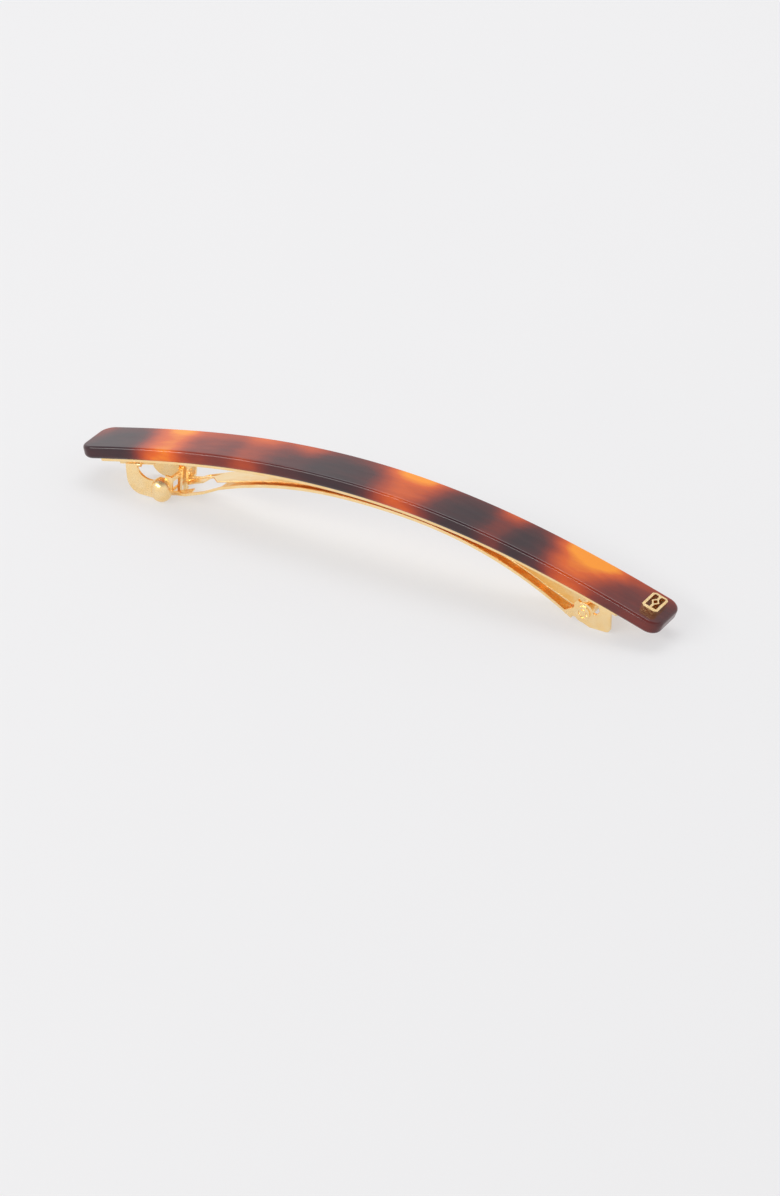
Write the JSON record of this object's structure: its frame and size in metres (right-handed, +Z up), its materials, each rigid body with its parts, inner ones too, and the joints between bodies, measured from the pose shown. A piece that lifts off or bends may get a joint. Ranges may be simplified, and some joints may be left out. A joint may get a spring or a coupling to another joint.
{
  "type": "barrette",
  "caption": "Long curved tortoiseshell acetate hair barrette on a gold spring clasp with a swinging arm and pinch-release domed catch.",
  "frame": {"origin": "on the table under the middle of the barrette, where it stands on its ears and domes", "axes": "+X along the bar from the catch end to the hinge end, -Y towards the front, +Z up"},
  "size_m": [0.1118, 0.012, 0.0143],
  "materials": {
    "acetate": "polished tortoiseshell",
    "gold_plate": "polished gold plate"
  },
  "bodies": {
    "holder": {"acetate_bar": "acetate", "plaque": "gold_plate", "base_plate": "gold_plate", "fixing_pins": "gold_plate", "catch_saddle": "gold_plate", "saddle_rivets": "gold_plate", "pivot_rivet": "gold_plate"},
    "arm": {"clasp_arm": "gold_plate"},
    "leaf": {"tension_bar": "gold_plate"},
    "front_leg": {"catch_leg_front": "gold_plate"},
    "rear_leg": {"catch_leg_rear": "gold_plate"}
  },
  "joints": [
    {"name": "arm_hinge", "type": "hinge", "parent": "holder", "child": "arm", "pos_m": [0.04187, 0, 0.00238], "axis": [0, -1, 0], "range_deg": [0, 95]},
    {"name": "tension_bar_flex", "type": "hinge", "parent": "holder", "child": "leaf", "pos_m": [0.04187, 0, 0.00238], "axis": [0, 1, 0], "range_deg": [0, 0.3], "stiffness_Nm_per_rad": 0.3},
    {"name": "front_catch_press", "type": "hinge", "parent": "holder", "child": "front_leg", "pos_m": [-0.04467, -0.00399, 0.00542], "axis": [0.9728, 0, 0.2316], "range_deg": [0, 5], "stiffness_Nm_per_rad": 0.25},
    {"name": "rear_catch_press", "type": "hinge", "parent": "holder", "child": "rear_leg", "pos_m": [-0.04467, 0.00399, 0.00542], "axis": [-0.9728, 0, -0.2316], "range_deg": [0, 5], "stiffness_Nm_per_rad": 0.25}
  ]
}
